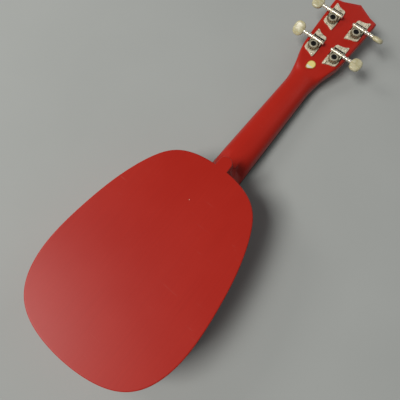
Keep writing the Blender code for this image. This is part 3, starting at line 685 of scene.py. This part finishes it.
def build_dots(white):
    """Position dots in the fifth, seventh, tenth and twelfth spaces."""
    stations = sorted((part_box(f"fret_{n}")[0].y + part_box(f"fret_{n}")[1].y) / 2 for n in range(1, 13))
    frets = stations[::-1]
    for number in DOTTED_SPACES:
        middle = (frets[number - 1] + frets[number - 2]) / 2
        places = (-0.007, 0.007) if number == 12 else (0.0,)
        for i, x in enumerate(places):
            bm = bmesh.new()
            spot = Matrix.Translation((x, middle, BOARD_LOW.z + 0.00014))
            bmesh.ops.create_cone(bm, cap_ends=True, segments=36, radius1=DOT_RADIUS,
                                  radius2=DOT_RADIUS, depth=0.0004, matrix=spot)
            round_edges(bm, 0.00005, 2, STEEP)
            piece(f"dot_{number}_{i + 1}", bm, white)


# Tuners ----------------------------------------------------------------------------------------

def tuner_place(name):
    """From the tuner's own frame, drawn for the +X side, to its place on the headstock."""
    side, x, y = TUNERS[name]
    place = HEAD @ Matrix.Translation((side * x, y, HEAD_THICK + GAP))
    return place @ Matrix.Diagonal((side, 1, 1, 1))


def fit(bm, place):
    """Moves a shell to its place; the mirror on one side turns it inside out, so it is set right."""
    bmesh.ops.transform(bm, matrix=place, verts=bm.verts)
    return faces_out(bm)


def plate_outline():
    """Slanted ends, with the high end outside, and a notch in each side where an ear bends up."""
    half, waist = 0.0082, EAR_X + EAR_THICK
    low, high = WORM_Y - 0.0056, WORM_Y + 0.0030
    right = [(half, high + 0.0006), (waist + 0.0002, high), (waist, high - 0.0003),
             (waist, low + 0.0003), (waist + 0.0002, low), (half, low - 0.0006), (half, -0.0020),
             (half - 0.0004, -0.0048), (0.0045, -0.0070), (0.0002, -0.0078), (-0.0042, -0.0098)]
    low_tip = [(-0.0068, -0.0112), (-0.0080, -0.0105)]
    left = [(-half, -0.0060), (-half, low - 0.0006), (-waist - 0.0002, low), (-waist, low + 0.0003),
            (-waist, high - 0.0003), (-waist - 0.0002, high), (-half, high + 0.0006),
            (-half, 0.0160), (-half + 0.0002, 0.0198), (-0.0062, 0.0222)]
    top = [(-0.0020, 0.0228), (0.0030, 0.0240), (0.0064, 0.0266)]
    high_tip = [(0.0078, 0.0268), (half, 0.0258)]
    return right + low_tip + left + top + high_tip


def plate_shell():
    """The base plate with its two slots and the ears pressed up beside them."""
    slots = []
    for side in (1, -1):
        inner, outer = sorted((side * (EAR_X - 0.0004), side * (EAR_X + EAR_THICK + 0.0003)))
        top = WORM_Y + 0.0093 + side * 0.0002
        slots.append([(inner, WORM_Y + 0.0042), (outer, top - 0.0051), (outer, top),
                      (inner, top + 0.0002)])
    bm = sheet([plate_outline()] + slots, -GAP, PLATE_THICK, 0.00022, 3)
    reach = 0.0031
    for side in (1, -1):
        low, high = sorted((side * EAR_X, side * (EAR_X + EAR_THICK)))
        arch = [(WORM_Y + reach * math.cos(a), WORM_Z + reach * math.sin(a))
                for a in (math.pi * i / 20 for i in range(20))]
        foot = [(WORM_Y - reach - 0.0006, WORM_Z + 0.0004), (WORM_Y - 0.0054, PLATE_THICK + 0.0004),
                (WORM_Y - 0.0054, PLATE_THICK * 0.4), (WORM_Y + reach, PLATE_THICK * 0.4)]
        upright = Matrix(((0, 0, 1, 0), (1, 0, 0, 0), (0, 1, 0, 0), (0, 0, 0, 1)))
        add_shell(bm, faces_out(sheet([arch + foot], low, high, 0.00025, 3)), upright)
    return bm


def shade_pad_shell():
    """Black pads of painted shade under the plate's slots and notches, and a strip of painted shade under
    the worm.
    """
    bm = bmesh.new()
    waist = EAR_X + EAR_THICK
    for side in (1, -1):
        slot = sorted((side * (EAR_X - 0.0008), side * (waist + 0.0006)))
        notch = sorted((side * (waist - 0.0004), side * 0.0085))
        for (left, right), start, end in ((slot, WORM_Y + 0.0035, WORM_Y + 0.0100),
                                          (notch, WORM_Y - 0.0060, WORM_Y + 0.0030)):
            add_shell(bm, block((left, start, -GAP * 0.8), (right, end, GAP * 0.6), 0.0001, 1))
    worm_shade_pad = block((-EAR_X + 0.0002, WORM_Y - 0.0040, PLATE_THICK - 0.0002),
                    (EAR_X - 0.0006, WORM_Y + 0.0084, PLATE_THICK + 0.00005), 0.00004, 1)
    add_shell(bm, worm_shade_pad)
    return bm


def screw_shell(radius, height, slot):
    """A domed screw head with a straight slot."""
    dome = [(radius * math.cos(a), height * (0.35 + 0.65 * math.sin(a)))
            for a in (math.pi / 2 * (1 - i / 8) for i in range(9))]
    bm = turned([(0, height)] + dome[1:] + [(radius, 0), (0, 0)], 36)
    for x in (-slot, slot):
        everything = bm.verts[:] + bm.edges[:] + bm.faces[:]
        bmesh.ops.bisect_plane(bm, geom=everything, dist=TOUCHING, plane_co=(x, 0, 0),
                               plane_no=(1, 0, 0))
    bm.normal_update()
    floor = [face for face in bm.faces if abs(face.calc_center_median().x) < slot
             and face.normal.z > 0.2]
    grown = bmesh.ops.extrude_face_region(bm, geom=floor)["geom"]
    bmesh.ops.delete(bm, geom=floor, context="FACES_ONLY")
    for item in grown:
        if isinstance(item, bmesh.types.BMVert):
            item.co.z = height * 0.42
    return faces_out(bm)


def gear_outline():
    """The teeth's outline, each with its root, flanks and tip."""
    points = []
    tip, root = GEAR_RADIUS + ADDENDUM, GEAR_RADIUS - DEDENDUM
    half_pitch = (PITCH / 2 - BACKLASH) / 2
    for tooth in range(GEAR_TEETH):
        middle = math.pi / 2 + 2 * math.pi * tooth / GEAR_TEETH
        for radius, half in ((root, half_pitch + 0.00030), (GEAR_RADIUS, half_pitch + 0.00004),
                             (tip, half_pitch - 0.00022), (tip, -half_pitch + 0.00022),
                             (GEAR_RADIUS, -half_pitch - 0.00004), (root, -half_pitch - 0.00030)):
            angle = middle - half / radius
            points.append((radius * math.cos(angle), radius * math.sin(angle)))
    return points


def gear_shell():
    """A round blank with teeth that lean with the worm's thread."""
    low = WORM_Z - GEAR_THICK / 2
    lean = PITCH / (2 * math.pi * WORM_PITCH_RADIUS) / GEAR_RADIUS
    bm = bmesh.new()
    face = bm.faces.new([bm.verts.new((x, y, low)) for x, y in gear_outline()])
    bmesh.ops.rotate(bm, verts=bm.verts, cent=(0, 0, 0),
                     matrix=Matrix.Rotation(-lean * GEAR_THICK / 2, 3, "Z"))
    steps = 4
    for step in range(steps):
        grown = bmesh.ops.extrude_face_region(bm, geom=[face])["geom"]
        if step:
            bm.faces.remove(face)
        fresh = [item for item in grown if isinstance(item, bmesh.types.BMVert)]
        bmesh.ops.translate(bm, verts=fresh, vec=(0, 0, GEAR_THICK / steps))
        bmesh.ops.rotate(bm, verts=fresh, cent=(0, 0, 0),
                         matrix=Matrix.Rotation(lean * GEAR_THICK / steps, 3, "Z"))
        face = next(item for item in grown if isinstance(item, bmesh.types.BMFace))
    faces_out(bm)
    ends = (low, low + GEAR_THICK)
    round_edges(bm, 0.00016, 2, STEEP, lambda at: min(abs(at.z - end) for end in ends) < TOUCHING)
    return bm


def gear_face_shell():
    """The plated face of the gear, a plain disc inside the teeth with a raised washer on it."""
    top = WORM_Z + GEAR_THICK / 2
    edge = GEAR_RADIUS - DEDENDUM - 0.0002
    profile = [(0, top + 0.0003), (0.0038, top + 0.0003), (0.0039, top + 0.00024),
               (0.0039, top + 0.00014), (edge - 0.0001, top + 0.00012), (edge, top + 0.00003),
               (edge, top - 0.0002), (0, top - 0.0002)]
    return turned(profile, 48)


def worm_shell():
    """A turned shaft with a collar at each ear and beads outside, and the thread wound on it."""
    core, crest = WORM_PITCH_RADIUS - DEDENDUM + 0.0001, WORM_PITCH_RADIUS + 0.0001
    journal, ear, bead = 0.0018, EAR_X + EAR_THICK, 0.0024
    end = BUTTON_START + 0.0075
    profile = [(0, end), (journal, end), (journal, BUTTON_START - 0.0002)]
    profile += bead_profile(BUTTON_START - 0.0016, 0.0012, journal, bead)
    profile += [(journal, 0.0166)]
    for centre in (0.0142, 0.0100):
        profile += bead_profile(centre, 0.0015, journal, bead)
    profile += [(journal, EAR_X - 0.0003), (core, EAR_X - 0.0006), (core, -EAR_X + 0.0006),
                (journal, -EAR_X + 0.0003), (journal, -ear - 0.0004)]
    profile += [(0.0022 * math.sin(a), -ear - 0.0016 + 0.0011 * math.cos(a))
                for a in (0.9 + (math.pi - 0.9) * i / 7 for i in range(7))]
    profile += [(0, -ear - 0.0026)]
    bm = turned(profile, 36)
    lie_along = Matrix.Rotation(math.pi / 2, 4, "Y")
    bmesh.ops.transform(bm, matrix=lie_along, verts=bm.verts)
    half_pitch = (PITCH / 2 - BACKLASH) / 2
    length = WORM_TURNS * PITCH
    thread = bmesh.new()
    tip, start = crest, -length / 2
    corners = ((core - 0.0005, -half_pitch - 0.0004), (tip - 0.0001, -half_pitch + 0.00018),
               (tip, -half_pitch + 0.00030), (tip, half_pitch - 0.00030),
               (tip - 0.0001, half_pitch - 0.00018), (core - 0.0005, half_pitch + 0.0004))
    face = thread.faces.new([thread.verts.new((start + x, r, 0)) for r, x in corners])
    steps = round(WORM_TURNS * 30)
    bmesh.ops.spin(thread, geom=[face, *face.edges, *face.verts], cent=(0, 0, 0), axis=(1, 0, 0),
                   dvec=(length / steps, 0, 0), angle=2 * math.pi * WORM_TURNS, steps=steps)
    turn_to_gear = math.pi - 2 * math.pi * (WORM_TURNS / 2 + 0.5)
    add_shell(bm, faces_out(thread), Matrix.Rotation(turn_to_gear, 4, "X"))
    return bm


def bead_profile(centre, reach, inner, outer):
    """A rounded bead's profile, from its far side to its near one."""
    return [(inner + (outer - inner) * math.sin(a) ** 0.7, centre + reach * math.cos(a))
            for a in (math.pi * i / 8 for i in range(9))]


def button_shell(turn):
    """A button shaped like a rounded square: flat faces that roll over to a full edge."""
    length, across, thick = BUTTON_SIZE
    bm = bmesh.new()
    bmesh.ops.create_uvsphere(bm, u_segments=56, v_segments=28, radius=1.0)
    for vert in bm.verts:
        flat = math.hypot(vert.co.x, vert.co.y)
        roll = math.copysign(abs(vert.co.z) ** 0.62, vert.co.z)
        share = flat ** 0.72 / max(flat, 1e-6) ** 0.82
        x, y = (math.copysign(abs(part) ** 0.82, part) * share for part in vert.co.xy)
        vert.co = Vector((x * length / 2, y * across / 2, roll * thick / 2))
    bmesh.ops.translate(bm, verts=bm.verts, vec=(BUTTON_START + length / 2, 0, 0))
    bmesh.ops.rotate(bm, verts=bm.verts, cent=(0, 0, 0),
                     matrix=Matrix.Rotation(math.radians(turn), 3, "X"))
    return bm


def post_shell():
    """A string post with its shank in the gear, a waist for the windings and a domed end."""
    top = WORM_Z + GEAR_THICK / 2 - 0.0004
    face = -HEAD_THICK - GAP
    tip = face - POST_REACH
    waist, shank = POST_RADIUS - 0.0004, 0.0018
    profile = [(0, top), (shank, top), (shank, PLATE_THICK + 0.0004),
               (POST_RADIUS, PLATE_THICK + 0.0003), (POST_RADIUS, face - 0.0022),
               (waist + 0.0001, face - 0.0028), (waist, face - 0.0034),
               (waist, face - 0.0098), (waist + 0.0001, face - 0.0104), (POST_RADIUS, face - 0.0110),
               (POST_RADIUS, tip + 0.0009), (POST_RADIUS - 0.0003, tip + 0.0003),
               (POST_RADIUS - 0.0009, tip), (0, tip)]
    return turned(profile, 36)


def bushing_shell():
    """A sleeve in the head with a rounded flange on its front."""
    face = -HEAD_THICK - GAP
    inner, sleeve = POST_RADIUS + GAP, POST_RADIUS + 0.0019
    profile = [(sleeve, face + 0.0050), (sleeve, face), (0.0062, face),
               (0.0061, face - 0.0006), (0.0056, face - 0.0012), (0.0050, face - 0.0014),
               (inner + 0.0002, face - 0.0014), (inner, face - 0.0012), (inner, face + 0.0050),
               (sleeve, face + 0.0050)]
    return turned(profile, 40)


def build_tuners(plated, bright, dull, shaded_gear, pearl, black):
    """Each tuner's plate on the neck's body, its gear and post on one body, its worm on another."""
    for name in TUNERS:
        place = tuner_place(name)
        worm_place = place @ Matrix.Translation((0, WORM_Y, WORM_Z))
        post, worm = f"post_{name}", f"worm_{name}"
        piece(f"base_plate_{name}", fit(plate_shell(), place), plated,
              stands_for=(f"tuner_plate_{name}",))
        # black pads of painted shade under the plate's slots, notches and worm
        piece(f"shade_pads_{name}", fit(shade_pad_shell(), place), black)
        # the gear's darkened finish is painted shade round its teeth and beside the worm
        piece(f"gear_{name}", fit(gear_shell(), place), shaded_gear, post, (f"tuner_gear_{name}",))
        # the gear face's finish is a darker copy of the plated nickel: painted shade
        piece(f"gear_face_{name}", fit(gear_face_shell(), place), dull, post)
        head = screw_shell(0.0035, 0.0012, 0.00030)
        bmesh.ops.translate(head, verts=head.verts, vec=(0, 0, WORM_Z + GEAR_THICK / 2 + 0.0002))
        piece(f"gear_screw_{name}", fit(head, place), black, post)
        piece(f"post_turned_{name}", fit(post_shell(), place), bright, post, (f"string_post_{name}",))
        piece(f"bushing_{name}", fit(bushing_shell(), place), bright, "root", (f"post_bushing_{name}",))
        piece(f"worm_{name}_turned", fit(worm_shell(), worm_place), bright, worm,
              (f"worm_shaft_{name}",))
        piece(f"button_{name}", fit(button_shell(BUTTON_TURNS[name]), worm_place), pearl, worm,
              (f"tuner_button_{name}",), sharp=STEEP)
        screws = bmesh.new()
        for x, y, turn in ((0.0058, 0.0236, 0.5), (-0.0058, -0.0078, 1.2)):
            spot = Matrix.Translation((x, y, PLATE_THICK - 0.00005)) @ Matrix.Rotation(turn, 4, "Z")
            add_shell(screws, screw_shell(0.00125, 0.0006, 0.00018), spot)
        piece(f"plate_screws_{name}", fit(screws, place), bright)


# Strings ---------------------------------------------------------------------------------------

def string_rows(spread):
    """Each string's place across, at a spacing."""
    return dict(zip(STRINGS, (spread * (1.5 - i) for i in range(len(STRINGS)))))


def winding_spot(name, turn, depth, reach=None):
    """A place round the post after so many turns of the string, reach from its axis."""
    side, x, y = TUNERS[name]
    reach = POST_RADIUS - 0.0004 + GAP + STRING_RADII[name] if reach is None else reach
    angle = (math.pi - 0.15 if side > 0 else 0.15) - side * 2 * math.pi * turn
    return HEAD @ Vector((side * x + reach * math.cos(angle), y + reach * math.sin(angle), depth))


def string_route(name):
    """Bridge slot, saddle, nut, then windings round the post: the route that the CAD string takes."""
    radius = STRING_RADII[name]
    at_nut, at_saddle = string_rows(NUT_SPREAD)[name], string_rows(SADDLE_SPREAD)[name]
    over_saddle, over_nut = radius, Z_BOARD - NUT_HEIGHT + radius
    route = [Vector((at_saddle, BRIDGE_LOW.y + 0.0008, BRIDGE_LOW.z + 0.0024)),
             Vector((at_saddle, Y_SADDLE - 0.0050, BRIDGE_LOW.z + 0.0006)),
             Vector((at_saddle, Y_SADDLE - 0.0014, over_saddle + 0.0002)),
             Vector((at_saddle, Y_SADDLE + 0.0008, over_saddle)),
             Vector((at_nut, Y_NUT - 0.0002, over_nut)),
             Vector((at_nut, Y_NUT + NUT_LENGTH, over_nut))]
    steps = 24
    return route + [winding_spot(name, step / steps, WINDING_START - WINDING_RISE * step / steps)
                    for step in range(int(WINDINGS * steps) + 1)]


def end_route(name):
    """The string's end: off the last winding, in through the post's hole and a little way out."""
    first, steps, bend = WINDING_START - WINDING_RISE * WINDINGS, 8, 0.2
    route = []
    for i in range(steps + 1):
        depth = first - (first + HOLE_DEPTH) * ease(i / steps)
        route.append(winding_spot(name, WINDINGS + bend * i / steps, depth))
    return route + [winding_spot(name, WINDINGS + bend, -HOLE_DEPTH, reach)
                    for reach in (POST_RADIUS - 0.0006, -POST_RADIUS, -POST_RADIUS - 0.0024)]


def knot_route(name):
    """The small knot behind the bridge slot: a short close coil."""
    radius = STRING_RADII[name]
    x = string_rows(SADDLE_SPREAD)[name]
    coil, turns, steps = radius * 1.15, 2.5, 14
    return [Vector((x + coil * math.cos(2 * math.pi * i / steps),
                    BRIDGE_LOW.y + 0.0008 + radius * 1.9 * i / steps - radius * 2.4,
                    BRIDGE_LOW.z + 0.0024 + coil * math.sin(2 * math.pi * i / steps)))
            for i in range(int(turns * steps))]


def draw_string(name, routes, radius, finish, body, stands_for=()):
    """A round string along each route."""
    curve = bpy.data.curves.new(name, "CURVE")
    curve.dimensions = "3D"
    curve.bevel_depth = radius
    curve.bevel_resolution = 4
    curve.use_fill_caps = True
    for route in routes:
        spline = curve.splines.new("POLY")
        spline.points.add(len(route) - 1)
        for point, spot in zip(spline.points, route):
            point.co = (*spot, 1)
    drawn = bpy.data.objects.new("drawn", curve)
    mesh = bpy.data.meshes.new_from_object(drawn)
    bpy.data.objects.remove(drawn)
    mesh.name = name
    mesh.shade_smooth()
    enter(bpy.data.objects.new(name, mesh), finish, body, stands_for)


def build_strings(finish):
    """The strings with their knots, and on each post the end that passes through it."""
    for name in STRINGS:
        radius = STRING_RADII[name]
        draw_string(f"string_{name}_drawn", (string_route(name), knot_route(name)), radius, finish,
                    "root", (f"string_{name}",))
        draw_string(f"string_end_{name}", (end_route(name),), radius, finish, f"post_{name}")


# Room ------------------------------------------------------------------------------------------

EYE = Vector((0.0586, -0.1654, 0.4299))
EYE_TURN = (math.radians(15.889), math.radians(-2.091), math.radians(38.272))
LENS = 34.27
SENSOR = 36.0
FLOOR_REACH = 12.0
ROOM_COLOUR, ROOM_STRENGTH = (0.92, 0.96, 1.0), 0.11
MIDDLE = (0, 0, 0.03)


def soft_light(name, spot, target, width, height, power, colour):
    """A soft panel light at a spot, facing a target."""
    light = bpy.data.lights.new(name, "AREA")
    light.shape, light.size, light.size_y = "RECTANGLE", width, height
    light.energy, light.color = power, colour
    obj = bpy.data.objects.new(name, light)
    obj.location = spot
    obj.rotation_euler = (Vector(target) - Vector(spot)).to_track_quat("-Z", "Y").to_euler()
    bpy.context.scene.collection.objects.link(obj)


def build_room():
    """A pale floor, one broad soft light high beyond the tail's left, two weak ones, and the eye."""
    bm = bmesh.new()
    bmesh.ops.create_grid(bm, x_segments=1, y_segments=1, size=FLOOR_REACH)
    mesh = bpy.data.meshes.new("floor")
    bm.to_mesh(mesh)
    bm.free()
    floor = bpy.data.objects.new("floor", mesh)
    bpy.context.scene.collection.objects.link(floor)
    paper = Finish("pale_floor", None)
    cloud = paper.noise(paper.place(), 7.0, 3.0)
    paper.feed("Base Color", paper.mix(cloud, (0.36, 0.375, 0.36), (0.40, 0.415, 0.40)))
    paper.feed("Roughness", 0.85 + cloud * 0.1)
    mesh.materials.append(paper.material)
    soft_light("window", (-1.30, -1.92, 3.15), (0, -0.05, 0.03), 1.8, 1.5, 124, (1.0, 0.985, 0.96))
    soft_light("side_window", (-1.35, -0.35, 0.95), MIDDLE, 0.45, 0.45, 5, (1.0, 0.98, 0.95))
    soft_light("far_window", (0.35, 1.6, 0.9), MIDDLE, 0.8, 0.6, 3, (1.0, 0.98, 0.95))
    world = bpy.data.worlds.new("room")
    world.use_nodes = True
    background = world.node_tree.nodes["Background"]
    background.inputs["Color"].default_value = (*ROOM_COLOUR, 1)
    background.inputs["Strength"].default_value = ROOM_STRENGTH
    bpy.context.scene.world = world
    bpy.context.scene.view_settings.view_transform = "Standard"
    camera = bpy.data.cameras.new("eye")
    camera.lens, camera.sensor_width = LENS, SENSOR
    obj = bpy.data.objects.new("eye", camera)
    obj.location, obj.rotation_euler = EYE, EYE_TURN
    bpy.context.scene.collection.objects.link(obj)
    bpy.context.scene.camera = obj


# Assembly --------------------------------------------------------------------------------------

CHIP_PLACE = (-0.0044, -0.0812, Z_BACK)
LABEL_ON_HEAD = Vector((-0.0018, 0.0113, HEAD_THICK))
LABEL_PLACE = HEAD @ LABEL_ON_HEAD

build_room()
LACQUER = red_lacquer()
WOOD, DARK, WHITE = bare_wood(), dark_wood(), white_plastic()
PLATED = metal("nickel_plate", "nickel", (0.86, 0.79, 0.60), (0.17, 0.14, 0.07), 0.36,
               (300, 3000, 300), 0.9, 0.30, 240.0)
BRIGHT = metal("nickel_bright", "nickel", (0.97, 0.92, 0.77), (0.50, 0.44, 0.28), 0.20,
               (2000, 300, 2000), 0.30, 0.85)
# a darker copy of the plated nickel: painted shade on the gears' faces
SHADED_PLATE = metal("shaded_nickel", "nickel", (0.60, 0.55, 0.41), (0.12, 0.10, 0.05), 0.40,
               (900, 900, 900), 0.8, 0.45)
# darkened nickel for the gears, with random dark spots: painted shade round the teeth and beside the worm
SHADED_GEAR = metal("shaded_gear_nickel", "nickel", (0.36, 0.32, 0.21), (0.05, 0.042, 0.026), 0.34,
               (900, 900, 900), 0.8, 0.6)
FRET_METAL = metal("fret_wire", "fret_metal", (0.66, 0.66, 0.63), (0.45, 0.44, 0.40), 0.20,
                   (150, 2500, 900), 0.4)
GOLD = metal("gold_rim", "nickel", (0.78, 0.52, 0.12), (0.50, 0.30, 0.06), 0.28,
             (900, 900, 900), 0.5, 0.5)
PEARL, NYLON, FOIL, BLACK = cream_pearl(), nylon(), gold_foil(), black_screw()

KEPT = {"red_lacquer": LACQUER, "bare_wood": WOOD, "dark_wood": DARK, "white_plastic": WHITE,
        "fret_metal": FRET_METAL, "nickel": BRIGHT, "cream_plastic": PEARL, "nylon": NYLON}
for subpart in frame["record"]["subparts"]:
    node = frame["nodes"][subpart["node"]]
    node.data.materials.clear()
    node.data.materials.append(KEPT[subpart["material_slot"]].material)

build_body(LACQUER, DARK, WHITE)
build_neck(LACQUER)
build_label(FOIL, GOLD)
build_dots(WHITE)
build_tuners(PLATED, BRIGHT, SHADED_PLATE, SHADED_GEAR, PEARL, BLACK)
build_strings(NYLON)
